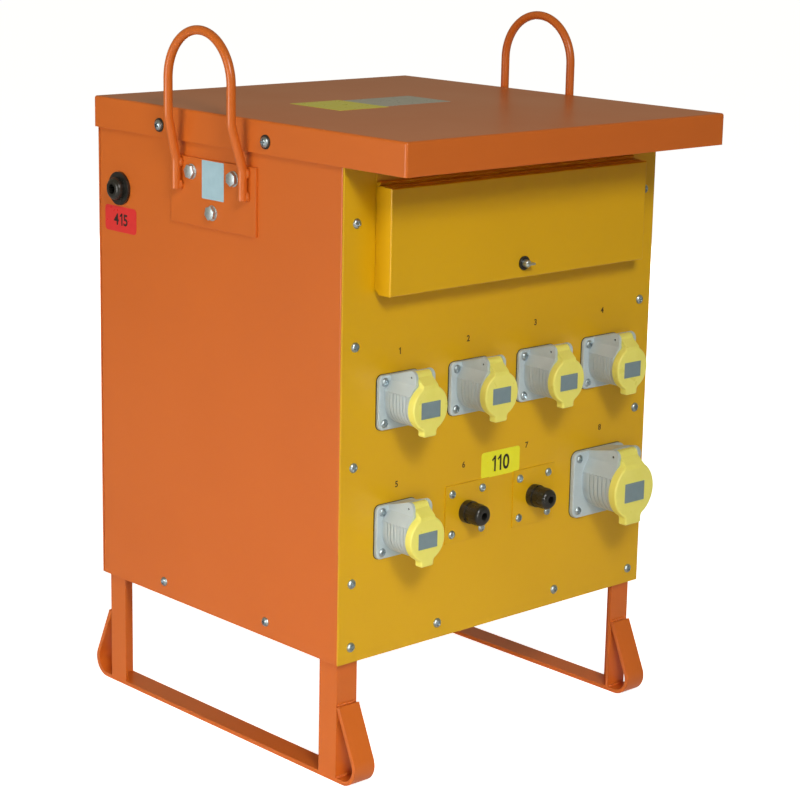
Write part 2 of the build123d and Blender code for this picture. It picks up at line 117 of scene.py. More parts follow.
def mouldedPlastic(name, look):
    # injection moulded: one colour all through, rounded edges, a soft gloss and a faint mould grain
    material, tree = newMaterial(name)
    place = addNode(tree, "ShaderNodeTexCoord").outputs["Object"]
    flow = addNode(tree, "ShaderNodeTexNoise", {"Vector": place, "Scale": 1 / (18 * mm), "Detail": 3.0})
    grain = addNode(tree, "ShaderNodeTexNoise", {
        "Vector": place, "Scale": 1 / (look["grain"] * mm), "Detail": 2.0})
    even = shifted(tree, flow.outputs["Fac"], look, {"colour": 0.6, "gloss": 0.4}, (0.03, 0.05))
    skin = grained(tree, grain.outputs["Fac"], 0.25, 0.05, look["edge"])
    shader = addNode(tree, "ShaderNodeBsdfPrincipled", {**even, **skin, "IOR": 1.53})
    addNode(tree, "ShaderNodeOutputMaterial", {"Surface": shader.outputs[0]})
    return material


def platedMetal(name, look):
    # bright plate on turned or pressed metal: a clear shine broken by a thin uneven film and
    # handling marks
    material, tree = newMaterial(name)
    place = addNode(tree, "ShaderNodeTexCoord").outputs["Object"]
    film = addNode(tree, "ShaderNodeTexNoise", {"Vector": place, "Scale": 1 / (3 * mm), "Detail": 3.0})
    marks = addNode(tree, "ShaderNodeTexNoise", {"Vector": place, "Scale": 1 / (0.9 * mm), "Detail": 2.0})
    even = shifted(tree, film.outputs["Fac"], look, {"colour": 0.6, "gloss": 0.4}, (0.05, 0.12))
    skin = grained(tree, marks.outputs["Fac"], 0.2, 0.05, 0.25)
    shader = addNode(tree, "ShaderNodeBsdfPrincipled", {**even, **skin, "Metallic": 1.0})
    addNode(tree, "ShaderNodeOutputMaterial", {"Surface": shader.outputs[0]})
    return material


def printedFilm(name, look):
    # printed vinyl film: flat ink under a satin face that lifts a little where air is left under it
    material, tree = newMaterial(name)
    place = addNode(tree, "ShaderNodeTexCoord").outputs["Object"]
    ink = addNode(tree, "ShaderNodeTexNoise", {"Vector": place, "Scale": 1 / (9 * mm), "Detail": 2.0})
    even = shifted(tree, ink.outputs["Fac"], look, {"colour": 0.6, "gloss": 0.4}, (0.03, 0.05))
    lift = grained(tree, ink.outputs["Fac"], 0.2, 0.1)
    shader = addNode(tree, "ShaderNodeBsdfPrincipled", {**even, **lift, "IOR": 1.46})
    addNode(tree, "ShaderNodeOutputMaterial", {"Surface": shader.outputs[0]})
    return material


print("materials")
orangeCoat = powderCoat("orange polyester powder coat", {
    "colour": "D66C22", "shade": "D0671E", "gloss": 0.32, "patch": 170, "fleck": 2.2, "peel": 0.4,
    "edge": 0.7})
yellowCoat = powderCoat("golden yellow polyester powder coat", {
    "colour": "E1AF08", "shade": "DAA806", "gloss": 0.3, "patch": 150, "fleck": 2.6, "peel": 0.22,
    "edge": 0.6})
greyNylon = mouldedPlastic("grey glass filled nylon", {
    "colour": "BFCDD3", "shade": "B5C4CB", "gloss": 0.34, "grain": 0.9, "edge": 0.5})
yellowNylon = mouldedPlastic("pale yellow moulded nylon", {
    "colour": "F3EC7A", "shade": "EDE66C", "gloss": 0.3, "grain": 0.9, "edge": 0.5})
carrierNylon = mouldedPlastic("yellow contact carrier nylon", {
    "colour": "DCCB45", "shade": "D2C03A", "gloss": 0.42, "grain": 0.7, "edge": 0.4})
blackNylon = mouldedPlastic("black nylon", {
    "colour": "24231F", "shade": "1B1A17", "gloss": 0.28, "grain": 0.7, "edge": 0.4})
breakerCase = mouldedPlastic("light grey moulded polyamide", {
    "colour": "DAD9D3", "shade": "D0CFC8", "gloss": 0.42, "grain": 0.6, "edge": 0.4})
zincPlate = platedMetal("bright zinc plate", {"colour": "D9E3E8", "shade": "A9B7BF", "gloss": 0.38})
screwZinc = platedMetal("clear zinc plate of the screws",
                        {"colour": "CBD7DE", "shade": "8A99A3", "gloss": 0.3})
drawnBrass = platedMetal("drawn brass", {"colour": "D9B45E", "shade": "BF9645", "gloss": 0.22})
yellowFilm = printedFilm("yellow label film", {"colour": "F0EC2E", "shade": "ECE729", "gloss": 0.3})
redFilm = printedFilm("red label film", {"colour": "E23433", "shade": "DA2E2E", "gloss": 0.3})
blueFilm = printedFilm("pale blue label film", {"colour": "AFD0DE", "shade": "A4C7D6", "gloss": 0.35})
slateFilm = printedFilm("slate grey label film", {"colour": "7F949D", "shade": "778C95", "gloss": 0.35})
silverFilm = printedFilm("silver grey label film", {"colour": "B9BCB5", "shade": "AFB2AB", "gloss": 0.3})
blackInk = printedFilm("black label ink", {"colour": "1C1B18", "shade": "171613", "gloss": 0.4})
brownInk = printedFilm("brown stencil ink", {"colour": "4B3208", "shade": "3F2A07", "gloss": 0.4})

# the longest name that a node's own name holds gives its finish
nodeFinish = {
    "lid": orangeCoat, "skid": orangeCoat, "leg": orangeCoat, "base_": orangeCoat,
    "side_panel": orangeCoat, "rear_panel": orangeCoat, "handle": orangeCoat,
    "front_panel": yellowCoat, "breaker_cover": yellowCoat, "gland_plate": yellowCoat,
    "hinge_": yellowCoat, "socket_": greyNylon, "socket_lid_": yellowNylon,
    "socket_insert_": carrierNylon, "gland_": blackNylon, "inlet_gland": blackNylon,
    "cover_washer": blackNylon, "wing_screw": zincPlate, "breaker_rail": zincPlate,
    "breaker_bank": breakerCase,
}
for node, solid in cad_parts.items():
    word = max((word for word in nodeFinish if word in node), key=len)
    for holder in solid.material_slots:
        holder.material = nodeFinish[word]


def makePiece(name, shape, material, body, sharp=35):
    mesh = bpy.data.meshes.new(name)
    shape.to_mesh(mesh)
    shape.free()
    mesh.materials.append(material)
    mesh.shade_smooth()
    mesh.set_sharp_from_angle(angle=math.radians(sharp))
    piece = bpy.data.objects.new(name, mesh)
    bpy.context.scene.collection.objects.link(piece)
    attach(piece, body)
    return piece


def facing(side, x, y, z):
    # a place on one side of the cabinet: local Z leaves the surface, local Y points up
    axes = {
        "front": ((1, 0, 0), (0, 0, 1), (0, -1, 0)),
        "rear": ((-1, 0, 0), (0, 0, 1), (0, 1, 0)),
        "left": ((0, -1, 0), (0, 0, 1), (-1, 0, 0)),
        "right": ((0, 1, 0), (0, 0, 1), (1, 0, 0)),
        "top": ((1, 0, 0), (0, 1, 0), (0, 0, 1)),
    }[side]
    return Matrix.Translation((x, y, z)) @ Matrix(axes).transposed().to_4x4()


def onPanel(x, up, out=0.0):
    return facing("front", x * mm, panelFace - out * mm, cabinetFoot + up * mm)


def onRear(x, up):
    return facing("rear", x * mm, rearFace, cabinetFoot + up * mm)


def onSide(side, back, up, out=0.0):
    way = {"left": -1, "right": 1}[side]
    return facing(side, way * (halfWidth + out * mm), panelFace + back * mm, cabinetFoot + up * mm)


def stamped(shape, places):
    # a copy of the shape at each place, in one bmesh
    mesh = bpy.data.meshes.new("stamp")
    shape.to_mesh(mesh)
    shape.free()
    joined = bmesh.new()
    for place in places:
        before = len(joined.verts)
        joined.from_mesh(mesh)
        joined.verts.ensure_lookup_table()
        bmesh.ops.transform(joined, matrix=place, verts=joined.verts[before:])
    return joined


def centredBlock(width, height, low, high, rounding=0.0):
    # block centred on X and Y, from Z low to Z high, in millimetres
    shape = bmesh.new()
    bmesh.ops.create_cube(shape, size=mm)
    bmesh.ops.scale(shape, vec=(width, height, high - low), verts=shape.verts)
    bmesh.ops.translate(shape, vec=(0, 0, (low + high) / 2 * mm), verts=shape.verts)
    if rounding:
        bmesh.ops.bevel(shape, geom=shape.edges[:], offset=rounding * mm, segments=3, profile=0.5,
                        affect="EDGES", material=-1)
    return shape


def finalMesh(holder):
    # mesh of an object with its modifiers or its curve worked out
    bpy.context.view_layer.update()
    graph = bpy.context.evaluated_depsgraph_get()
    return bpy.data.meshes.new_from_object(holder.evaluated_get(graph))


def carve(shape, cutter):
    # the shape with the cutter's volume taken out
    holders = []
    for name, source in (("carved", shape), ("cutter", cutter)):
        mesh = bpy.data.meshes.new(name)
        source.to_mesh(mesh)
        source.free()
        holder = bpy.data.objects.new(name, mesh)
        bpy.context.scene.collection.objects.link(holder)
        holders.append(holder)
    cut = holders[0].modifiers.new("cut", "BOOLEAN")
    cut.operation = "DIFFERENCE"
    cut.solver = "EXACT"
    cut.object = holders[1]
    carved = bmesh.new()
    carved.from_mesh(finalMesh(holders[0]))
    for holder in holders:
        bpy.data.objects.remove(holder)
    return carved


def turnedRing(inner, outer, low, high, segments, rounding=0.0):
    # ring about local Z with its outer top edge rounded, in millimetres
    shape = bmesh.new()
    section = ((inner, low), (outer, low), (outer, high), (inner, high))
    corners = [shape.verts.new((r * mm, 0, z * mm)) for r, z in section]
    for first, second in zip(corners, corners[1:] + corners[:1]):
        shape.edges.new((first, second))
    if rounding:
        bmesh.ops.bevel(shape, geom=[corners[2]], offset=rounding * mm, segments=3, profile=0.5,
                        affect="VERTICES", material=-1)
    bmesh.ops.spin(shape, geom=shape.verts[:] + shape.edges[:], cent=(0, 0, 0), axis=(0, 0, 1),
                   angle=math.tau, steps=segments, use_merge=True)
    bmesh.ops.recalc_face_normals(shape, faces=shape.faces)
    return shape


print("screws")
panScrew = {"width": 11.4, "height": 3.4, "slot": 2.1, "cross": 7.2, "depth": 2.4, "segments": 28}
lidScrew = {"width": 12.4, "height": 3.6, "slot": 2.2, "cross": 7.6, "depth": 2.5, "segments": 28}
outletScrew = {"width": 10.2, "height": 2.9, "slot": 2.0, "cross": 6.6, "depth": 2.1, "segments": 24}


def screwHead(look):
    # domed pan head with a cross recess
    head = bmesh.new()
    radius = look["width"] / 2 * mm
    bmesh.ops.create_uvsphere(head, u_segments=look["segments"], v_segments=12, radius=radius)
    bmesh.ops.scale(head, vec=(1, 1, look["height"] * mm / radius), verts=head.verts)
    everything = head.verts[:] + head.edges[:] + head.faces[:]
    bmesh.ops.bisect_plane(head, geom=everything, plane_co=(0, 0, 0), plane_no=(0, 0, 1),
                           clear_inner=True)
    bmesh.ops.holes_fill(head, edges=[edge for edge in head.edges if edge.is_boundary])
    floor = look["height"] - look["depth"]
    head = carve(head, centredBlock(look["cross"], look["slot"], floor, floor + 4))
    return carve(head, centredBlock(look["slot"], look["cross"], floor, floor + 4))


def turned(places, step):
    # no two screws stop at the same turn
    return [place @ Matrix.Rotation(step * index, 4, "Z") for index, place in enumerate(places)]


edgeScrews = {"inset": 18.3, "heights": (18.2, 92.6, 226.6, 362.2, 497.9), "footHalf": 98.0,
              "footHeight": 18.2}
sideScrews = {"backs": (128.0, 322.0), "height": 18.3}
edgeX = halfWidth / mm - edgeScrews["inset"]
cabinetScrews = []
for put in (onPanel, onRear):
    cabinetScrews += [put(x, up) for x in (-edgeX, edgeX) for up in edgeScrews["heights"]]
    cabinetScrews += [put(way * edgeScrews["footHalf"], edgeScrews["footHeight"]) for way in (-1, 1)]
cabinetScrews += [onSide(side, back, sideScrews["height"])
                  for side in ("left", "right") for back in sideScrews["backs"]]
makePiece("cabinet_screws", stamped(screwHead(panScrew), turned(cabinetScrews, 0.7)), screwZinc,
          "cabinet")

lidScrews = {"backs": (128.0, 322.0), "height": 574.0, "washer": 16.2, "thickness": 1.6}
lidOut = (lidHigh.x - halfWidth) / mm
lidPlaces = [onSide(side, back, lidScrews["height"], lidOut)
             for side in ("left", "right") for back in lidScrews["backs"]]
washer = turnedRing(3.0, lidScrews["washer"] / 2, 0, lidScrews["thickness"], 32, 0.6)
makePiece("lid_washers", stamped(washer, lidPlaces), blackNylon, "cabinet")
onWasher = [place @ Matrix.Translation((0, 0, lidScrews["thickness"] * mm)) for place in lidPlaces]
makePiece("lid_screws", stamped(screwHead(lidScrew), turned(onWasher, 1.1)), screwZinc, "cabinet")

outlets = {
    "1": {"x": -168.5, "up": 295.0, "size": "small"},
    "2": {"x": -58.5, "up": 295.0, "size": "small"},
    "3": {"x": 51.5, "up": 295.0, "size": "small"},
    "4": {"x": 161.5, "up": 295.0, "size": "small"},
    "5": {"x": -168.5, "up": 146.0, "size": "small"},
    "8": {"x": 165.3, "up": 145.5, "size": "large"},
}
flangeScrews = {"small": {"out": 5.0, "across": 22.5, "up": 23.5},
                "large": {"out": 6.0, "across": 36.0, "up": 32.5}}
glandScrews = {"centres": (-55.5, 55.0), "up": 145.5, "half": 24.2, "out": 1.5}
outletPlaces = []
for outlet in outlets.values():
    look = flangeScrews[outlet["size"]]
    outletPlaces += [onPanel(outlet["x"] + x, outlet["up"] + up, look["out"])
                     for x in (-look["across"], look["across"]) for up in (-look["up"], look["up"])]
for centre in glandScrews["centres"]:
    half = glandScrews["half"]
    outletPlaces += [onPanel(centre + x, glandScrews["up"] + up, glandScrews["out"])
                     for x in (-half, half) for up in (-half, half)]
makePiece("outlet_screws", stamped(screwHead(outletScrew), turned(outletPlaces, 0.9)), screwZinc,
          "cabinet")

handleBolts = {"centre": 224.0, "half": 38.4, "upper": 526.5, "lower": 483.0, "across": 15.0,
               "height": 4.4, "chamfer": 0.9, "washer": 18.0, "thickness": 1.2}
boltPlaces = []
for side in ("left", "right"):
    for back, level in ((-handleBolts["half"], "upper"), (handleBolts["half"], "upper"), (0.0, "lower")):
        boltPlaces.append(onSide(side, handleBolts["centre"] + back, handleBolts[level], plateOut))


def hexHead(look):
    # hexagon head with its outer corners turned off
    shape = bmesh.new()
    corner = look["across"] / 2 / math.cos(math.radians(30)) * mm
    bmesh.ops.create_cone(shape, cap_ends=True, segments=6, radius1=corner, radius2=corner,
                          depth=look["height"] * mm)
    bmesh.ops.translate(shape, vec=(0, 0, (look["thickness"] + look["height"] / 2) * mm),
                        verts=shape.verts)
    top = max(vert.co.z for vert in shape.verts)
    rim = [edge for edge in shape.edges if all(abs(vert.co.z - top) < 1e-6 for vert in edge.verts)]
    bmesh.ops.bevel(shape, geom=rim, offset=look["chamfer"] * mm, segments=2, profile=0.5, affect="EDGES",
                    material=-1)
    return shape


makePiece("handle_bolts", stamped(hexHead(handleBolts), turned(boltPlaces, 0.4)), zincPlate, "cabinet",
          25)
washer = turnedRing(4.2, handleBolts["washer"] / 2, 0, handleBolts["thickness"], 32, 0.3)
makePiece("handle_washers", stamped(washer, boltPlaces), zincPlate, "cabinet")


print("labels")
filmThickness = 0.25
onFilm = Matrix.Translation((0, 0, filmThickness * mm))


def filmPlate(width, height, corner, thickness):
    # flat film with rounded corners, its back on local Z zero
    shape = bmesh.new()
    bmesh.ops.create_grid(shape, x_segments=1, y_segments=1, size=0.5 * mm)
    bmesh.ops.scale(shape, vec=(width, height, 1), verts=shape.verts)
    bmesh.ops.bevel(shape, geom=shape.verts[:], offset=corner * mm, segments=6, profile=0.5,
                    affect="VERTICES", material=-1)
    grown = bmesh.ops.extrude_face_region(shape, geom=shape.faces[:], use_keep_orig=True)
    raised = [item for item in grown["geom"] if isinstance(item, bmesh.types.BMVert)]
    bmesh.ops.translate(shape, vec=(0, 0, thickness * mm), verts=raised)
    bmesh.ops.recalc_face_normals(shape, faces=shape.faces)
    return shape


capHeight = 0.73  # of the font's capitals, for a size of one


def fontNumeral(letter, height, weight):
    curve = bpy.data.curves.new("numeral", "FONT")
    curve.body = letter
    curve.size = height * mm / capHeight
    curve.offset = weight * mm
    curve.extrude = 0.05 * mm
    holder = bpy.data.objects.new("numeral", curve)
    bpy.context.scene.collection.objects.link(holder)
    mesh = finalMesh(holder)
    bpy.data.objects.remove(holder)
    shape = bmesh.new()
    shape.from_mesh(mesh)
    bmesh.ops.remove_doubles(shape, verts=shape.verts, dist=1e-6)
    return shape


oneStroke = {"upright": 0.11, "flag": 0.36, "thinner": 0.8, "turn": 40.0, "left": 0.13, "raised": 0.33}
letterGap = 0.14  # of the numerals' height


def flaggedOne(height, weight):
    # upright stroke with a short flag down to the left, which the font's own one lacks
    stroke = oneStroke["upright"] * height + 2 * weight
    tall = height + 2 * weight
    shape = centredBlock(stroke, tall, 0, 0.1)
    flag = centredBlock(oneStroke["flag"] * tall, oneStroke["thinner"] * stroke, 0, 0.1)
    turn = Matrix.Rotation(math.radians(oneStroke["turn"]), 3, "Z")
    bmesh.ops.rotate(flag, verts=flag.verts, cent=(0, 0, 0), matrix=turn)
    place = (-oneStroke["left"] * tall * mm, oneStroke["raised"] * tall * mm, 0)
    bmesh.ops.translate(flag, verts=flag.verts, vec=place)
    mesh = bpy.data.meshes.new("flag")
    flag.to_mesh(mesh)
    flag.free()
    shape.from_mesh(mesh)
    return shape


def reach(shape, axis):
    places = [vert.co[axis] for vert in shape.verts]
    return min(places), max(places)


def numerals(text, height, weight, narrow):
    # raised ink numerals in a row, centred on the origin with their back on local Z zero
    row = bmesh.new()
    cursor = 0
    for letter in text:
        shape = flaggedOne(height, weight) if letter == "1" else fontNumeral(letter, height, weight)
        bmesh.ops.scale(shape, vec=(narrow, 1, 1), verts=shape.verts)
        left, right = reach(shape, 0)
        base = reach(shape, 1)[0]
        back = reach(shape, 2)[0]
        bmesh.ops.translate(shape, vec=(cursor - left, -base, -back), verts=shape.verts)
        cursor += right - left + letterGap * height * mm
        mesh = bpy.data.meshes.new("numeral")
        shape.to_mesh(mesh)
        shape.free()
        row.from_mesh(mesh)
    across = sum(reach(row, 0)) / 2
    upward = sum(reach(row, 1)) / 2
    bmesh.ops.translate(row, vec=(-across, -upward, 0), verts=row.verts)
    return row


outputLabel = {"x": -1.2, "up": 195.0, "width": 63.5, "height": 31.0, "corner": 4.0, "numerals": 18.0,
               "weight": 0.5, "narrow": 0.9}
place = onPanel(outputLabel["x"], outputLabel["up"])
film = filmPlate(outputLabel["width"], outputLabel["height"], outputLabel["corner"], filmThickness)
makePiece("output_label", stamped(film, [place]), yellowFilm, "cabinet")
ink = numerals("110", outputLabel["numerals"], outputLabel["weight"], outputLabel["narrow"])
makePiece("output_label_numerals", stamped(ink, [place @ onFilm]), blackInk, "cabinet")

supplyLabel = {"back": 405.5, "up": 452.5, "width": 63.0, "height": 31.0, "corner": 5.0,
               "numerals": 14.0, "weight": 0.4, "narrow": 1.0}
place = onSide("left", supplyLabel["back"], supplyLabel["up"])
film = filmPlate(supplyLabel["width"], supplyLabel["height"], supplyLabel["corner"], filmThickness)
makePiece("supply_label", stamped(film, [place]), redFilm, "cabinet")
ink = numerals("415", supplyLabel["numerals"], supplyLabel["weight"], supplyLabel["narrow"])
makePiece("supply_label_numerals", stamped(ink, [place @ onFilm]), blackInk, "cabinet")

outletNumerals = {"height": 7.2, "weight": 0.25, "places": {
    "1": (-165.4, 349.8), "2": (-59.5, 350.6), "3": (49.9, 355.9), "4": (165.1, 356.6),
    "5": (-166.4, 197.0), "6": (-61.6, 202.1), "7": (42.1, 209.0), "8": (168.9, 211.0)}}
for text, (x, up) in outletNumerals["places"].items():
    ink = numerals(text, outletNumerals["height"], outletNumerals["weight"], 1.0)
    makePiece("outlet_numeral_" + text, stamped(ink, [onPanel(x, up)]), brownInk, "cabinet")

handleLabel = {"back": 223.0, "up": 520.0, "width": 40.0, "height": 44.0}
places = [onSide(side, handleLabel["back"], handleLabel["up"], plateOut) for side in ("left", "right")]
film = filmPlate(handleLabel["width"], handleLabel["height"], 0.8, filmThickness)
makePiece("handle_labels", stamped(film, places), blueFilm, "cabinet")

# two bare stickers side by side on the lid
lidStickers = {"yellow": (-116.0, -39.0, 163.0, 253.0), "silver": (-39.0, 68.0, 170.0, 246.0)}
for name, film in (("yellow", yellowFilm), ("silver", silverFilm)):
    left, right, near, far = lidStickers[name]
    place = facing("top", (left + right) / 2 * mm, panelFace + (near + far) / 2 * mm, lidHigh.z)
    sticker = stamped(filmPlate(right - left, far - near, 1.0, 0.15), [place])
    makePiece("lid_sticker_" + name, sticker, film, "cabinet")

lidPlates = {"small": {"out": 55.3, "width": 29.0, "height": 19.0, "drop": -1.5},
             "large": {"out": 63.8, "width": 35.0, "height": 24.0, "drop": -2.0}}
for number, outlet in outlets.items():
    look = lidPlates[outlet["size"]]
    film = filmPlate(look["width"] - 0.4, look["height"] - 0.4, 0.8, 0.3)
    place = onPanel(outlet["x"], outlet["up"] + look["drop"], look["out"])
    makePiece("lid_plate_" + number, stamped(film, [place]), slateFilm, "socket_lid_" + number)


print("welds")
rodWelds = {"centre": 224.0, "spread": 61.0, "ups": (509.5, 535.5), "length": 11.0, "radius": 2.7,
            "aside": 4.4, "out": 1.8}
standWelds = {"shorter": 3.0, "skidRadius": 2.4, "legRadius": 2.2}


def weldBead(length, radius):
    # rippled bead along local X, laid half into its corner
    shape = bmesh.new()
    bmesh.ops.create_circle(shape, cap_ends=True, segments=10, radius=radius * mm)
    bmesh.ops.rotate(shape, verts=shape.verts, cent=(0, 0, 0),
                     matrix=Matrix.Rotation(math.radians(90), 3, "Y"))
    bmesh.ops.scale(shape, verts=shape.verts, vec=(1, 0.3, 0.3))
    steps = max(8, round(length / (radius * 0.5)))
    face = shape.faces[:]
    width = 0.3
    for step in range(1, steps + 1):
        grown = bmesh.ops.extrude_face_region(shape, geom=face)
        ring = [item for item in grown["geom"] if isinstance(item, bmesh.types.BMVert)]
        face = [item for item in grown["geom"] if isinstance(item, bmesh.types.BMFace)]
        wanted = 1.0 + 0.1 * math.sin(2.3 * step)
        if step in (1, steps - 1):
            wanted = 0.75
        if step == steps:
            wanted = 0.35
        centre = sum((vert.co for vert in ring), Vector()) / len(ring)
        bmesh.ops.scale(shape, verts=ring, vec=(1, wanted / width, wanted / width),
                        space=Matrix.Translation(-centre))
        bmesh.ops.translate(shape, verts=ring, vec=(length / steps * mm, 0, 0))
        width = wanted
    bmesh.ops.translate(shape, verts=shape.verts, vec=(-length / 2 * mm, 0, 0))
    bmesh.ops.recalc_face_normals(shape, faces=shape.faces)
    return shape


places = []
for side in ("left", "right"):
    for back in (-rodWelds["spread"], rodWelds["spread"]):
        for aside in (-rodWelds["aside"], rodWelds["aside"]):
            for up in rodWelds["ups"]:
                corner = onSide(side, rodWelds["centre"] + back + aside, up, plateOut + rodWelds["out"])
                places.append(corner @ Matrix.Rotation(math.radians(90), 4, "Z"))
makePiece("rod_welds", stamped(weldBead(rodWelds["length"], rodWelds["radius"]), places), orangeCoat,
          "cabinet")

skidWelds = []
legWelds = []
for side in ("left", "right"):
    skidLow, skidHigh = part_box(side + "_skid")
    middle = (skidLow.x + skidHigh.x) / 2
    width = (skidHigh.x - skidLow.x) / mm - standWelds["shorter"]
    for end in ("front", "rear"):
        legLow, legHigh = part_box(end + "_" + side + "_leg")
        legFace = legLow.y if end == "front" else legHigh.y
        skidWelds.append(Matrix.Translation((middle, legFace, skidHigh.z)))
        legWelds.append(Matrix.Translation((middle, legFace, legLow.z)))
makePiece("skid_welds", stamped(weldBead(width, standWelds["skidRadius"]), skidWelds), orangeCoat,
          "cabinet")
makePiece("leg_welds", stamped(weldBead(width, standWelds["legRadius"]), legWelds), orangeCoat,
          "cabinet")


print("outlet details")
gaskets = {"small": {"width": 63.6, "height": 63.6, "corner": 7.5},
           "large": {"width": 92.2, "height": 84.2, "corner": 10.5}}
gasketRim = {"thickness": 0.8, "inside": 10.0}
# ends of the lids' hinge pins, made black: their dark colour is painted shade for the shadow in the
# recesses that the pins sit in
pinEndDiscsPaintedShade = {"small": {"radius": 1.45, "aside": 13.55, "out": 38.5, "up": 33.5},
           "large": {"radius": 1.7, "aside": 19.3, "out": 45.5, "up": 40.5}}
for size, look in gaskets.items():
    rim = filmPlate(look["width"], look["height"], look["corner"], gasketRim["thickness"])
    inside = gasketRim["inside"]
    rim = carve(rim, centredBlock(look["width"] - inside, look["height"] - inside, -2.0, 2.0))
    places = [onPanel(outlet["x"], outlet["up"]) for outlet in outlets.values() if outlet["size"] == size]
    makePiece("outlet_gaskets_" + size, stamped(rim, places), blackNylon, "cabinet")
# black discs on the pin ends, painted shade for the shadowed pin recesses
for size, look in pinEndDiscsPaintedShade.items():
    end = bmesh.new()
    bmesh.ops.create_cone(end, cap_ends=True, segments=20, radius1=look["radius"] * mm,
                          radius2=look["radius"] * 0.8 * mm, depth=0.5 * mm)
    places = []
    for outlet in outlets.values():
        if outlet["size"] == size:
            for way in (-1, 1):
                place = onPanel(outlet["x"] + way * look["aside"], outlet["up"] + look["up"], look["out"])
                places.append(place @ Matrix.Rotation(way * math.radians(90), 4, "Y"))
    makePiece("pin_ends_painted_shade_" + size, stamped(end, places), blackNylon, "cabinet")

contacts = {
    "small": {"face": 39.0, "circle": 8.5, "inner": 1.7, "outer": 2.5, "length": 13.0},
    "large": {"face": 45.0, "circle": 11.5, "inner": 2.3, "outer": 3.25, "length": 16.0},
}
places = {"small": [], "large": []}
for outlet in outlets.values():
    look = contacts[outlet["size"]]
    for index in range(3):
        turn = math.radians(90 + 120 * index)
        x = outlet["x"] + look["circle"] * math.cos(turn)
        up = outlet["up"] + look["circle"] * math.sin(turn)
        places[outlet["size"]].append(onPanel(x, up, look["face"] - 1.0))
for size, look in contacts.items():
    sleeve = turnedRing(look["inner"], look["outer"], -look["length"], 0, 20, 0.2)
    makePiece("contact_sleeves_" + size, stamped(sleeve, places[size]), drawnBrass, "cabinet")

# grip ribs round the nuts of the glands and of the inlet
nutRibs = {
    "gland": {"count": 18, "radius": 12.1, "width": 1.2, "height": 1.0, "from": 9.0, "to": 23.0},
    "inlet": {"count": 18, "radius": 13.3, "width": 1.3, "height": 1.0, "from": 4.0, "to": 8.5},
}
inletPlace = {"back": 406.0, "up": 490.0}
nutPlaces = {
    "gland": [onPanel(x, glandScrews["up"], glandScrews["out"]) for x in glandScrews["centres"]],
    "inlet": [onSide("left", inletPlace["back"], inletPlace["up"])],
}
for name, look in nutRibs.items():
    rib = centredBlock(look["width"], look["height"], look["from"], look["to"], 0.3)
    bmesh.ops.translate(rib, vec=(0, look["radius"] * mm, 0), verts=rib.verts)
    turns = [Matrix.Rotation(math.tau * step / look["count"], 4, "Z") for step in range(look["count"])]
    ribs = stamped(rib, [place @ turn for place in nutPlaces[name] for turn in turns])
    makePiece(name + "_ribs", ribs, blackNylon, "cabinet")

# what shows in the window when the cover is lifted
breakers = {"count": 8, "pitch": 36.0, "up": 477.0, "nose": 7.0}
breakerLevers = {"width": 25.0, "height": 13.0, "tip": 15.6, "round": 1.2}
breakerWindows = {"width": 9.0, "height": 4.0, "up": 12.5, "round": 0.6}
breakerScrews = {"across": 9.0, "up": 17.5}
half = (breakers["count"] - 1) / 2
centres = [(index - half) * breakers["pitch"] for index in range(breakers["count"])]
lever = centredBlock(breakerLevers["width"], breakerLevers["height"], -0.5,
                     breakerLevers["tip"] - breakers["nose"], breakerLevers["round"])
places = [onPanel(x, breakers["up"], breakers["nose"]) for x in centres]
makePiece("breaker_levers", stamped(lever, places), blackNylon, "cabinet")
window = filmPlate(breakerWindows["width"], breakerWindows["height"], breakerWindows["round"], 0.3)
places = [onPanel(x, breakers["up"] + breakerWindows["up"], breakers["nose"]) for x in centres]
makePiece("breaker_windows", stamped(window, places), redFilm, "cabinet")
places = [onPanel(x + aside, breakers["up"] - breakerScrews["up"], breakers["nose"] - 1.2)
          for x in centres for aside in (-breakerScrews["across"], breakerScrews["across"])]
smallScrew = {"width": 5.6, "height": 1.8, "slot": 1.0, "cross": 3.6, "depth": 1.0, "segments": 20}
makePiece("breaker_screws", stamped(screwHead(smallScrew), turned(places, 0.8)), screwZinc, "cabinet")


print("studio")
studio = {
    "sky": 0.12, "glossSky": 0.32, "skyColour": "FFF2CC", "floorSize": 30.0, "floorGlow": 0.92,
    "floorShine": 0.04,
    "key": {"at": (-1.55, -2.83, 2.50), "aim": (0, -0.19, 0.3), "size": 0.9, "power": 67,
            "colour": "FFFDF8"},
    "side": {"at": (-3.00, 0.45, 0.40), "aim": (-0.25, 0, 0.35), "size": 1.6, "power": 48,
             "colour": "FFFDF8"},
    "low": {"at": (-1.90, -2.50, 0.35), "aim": (-0.20, -0.20, -0.02), "size": 0.9, "power": 0.95,
            "spread": 22, "colour": "FFFDF8"},
    "behind": {"at": (2.40, 2.60, 0.35), "aim": (0.1, 0.1, 0.35), "size": 0.66, "power": 72,
               "colour": "FFFDF8", "mirrored": False},
}
world = bpy.context.scene.world or bpy.data.worlds.new("studio")
bpy.context.scene.world = world
world.use_nodes = True
tree = world.node_tree
tree.nodes.clear()
